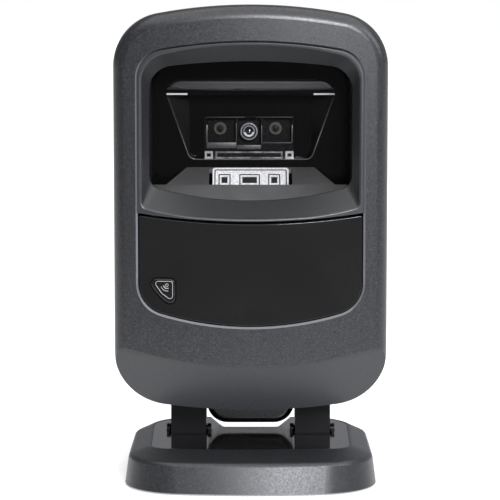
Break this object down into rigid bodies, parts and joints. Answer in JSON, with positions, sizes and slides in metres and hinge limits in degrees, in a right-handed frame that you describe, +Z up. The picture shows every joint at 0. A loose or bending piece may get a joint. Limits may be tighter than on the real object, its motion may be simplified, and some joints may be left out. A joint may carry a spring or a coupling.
{
  "type": "presentation barcode scanner",
  "caption": "Hands-free presentation barcode scanner: tall rounded head with recessed scan window and gloss panel, tilting on two legs over a weighted foot.",
  "frame": {"origin": "middle of the footprint, on the counter under the rubber feet", "axes": "+Z up, -Y towards the barcode being scanned (front), +X to the right as seen from the front"},
  "size_m": [0.0816, 0.0832, 0.146],
  "materials": {
    "textured_charcoal": "fine spark-eroded texture, metallic charcoal",
    "satin_charcoal": "smooth satin",
    "gloss_black": "high gloss",
    "clear_window": "clear, coated",
    "black_rubber": "matte",
    "chamber_black": "matte light-absorbing",
    "chamber_grey": "satin grey",
    "white_diffuser": "matte white",
    "lens_glass": "coated optical glass",
    "bright_metal": "turned, bright",
    "plated_steel": "zinc-plated",
    "blackened_steel": "black phosphated",
    "cast_iron": "as cast, primed",
    "board_green": "solder mask",
    "black_component": "moulded",
    "contact_gold": "gold-plated",
    "flex_amber": "polyimide film"
  },
  "bodies": {
    "base": {"ballast_weight": "cast_iron", "base_cover": "textured_charcoal", "base_inlay": "gloss_black", "base_plate": "plated_steel", "base_screws": "plated_steel", "friction_washers": "black_component", "hinge_bracket_left": "blackened_steel", "hinge_bracket_right": "blackened_steel", "hinge_pin_left": "blackened_steel", "hinge_pin_right": "blackened_steel", "rubber_feet": "black_rubber"},
    "head": {"aiming_lens_left": "lens_glass", "aiming_lens_right": "lens_glass", "baffle_bar": "chamber_grey", "beeper": "black_component", "board_screws": "plated_steel", "board_standoffs": "plated_steel", "button_board": "board_green", "button_dome": "black_rubber", "chamber_floor": "chamber_grey", "chassis": "plated_steel", "chassis_screws": "plated_steel", "decoder_shield": "plated_steel", "engine_body": "black_component", "engine_bracket": "black_component", "engine_clips": "plated_steel", "engine_connector": "plated_steel", "flex_cable": "flex_amber", "front_bezel": "textured_charcoal", "gloss_panel": "gloss_black", "housing_screws": "plated_steel", "illumination_board": "board_green", "illumination_frame": "white_diffuser", "illumination_leds": "black_component", "imager_board": "board_green", "jack_contacts": "contact_gold", "jack_housing": "black_component", "leg_left": "satin_charcoal", "leg_right": "satin_charcoal", "leg_screws": "plated_steel", "lens_barrel": "bright_metal", "lens_glass": "lens_glass", "main_board": "board_green", "optical_chamber": "chamber_black", "rear_housing": "satin_charcoal", "scan_window": "clear_window", "seal_strips": "white_diffuser", "window_gasket": "black_rubber", "window_sill": "chamber_grey", "window_surround": "satin_charcoal"},
    "tone_button": {"tone_button": "gloss_black"}
  },
  "joints": [
    {"name": "head_tilt", "type": "hinge", "parent": "base", "child": "head", "pos_m": [0, 0.0036, 0.0124], "axis": [1, 0, 0], "range_deg": [-10, 10]},
    {"name": "tone_button_press", "type": "slide", "parent": "head", "child": "tone_button", "axis": [0, 1, 0], "range_m": [0, 0.0006], "stiffness_N_per_m": 600, "springref_m": -0.0008}
  ]
}
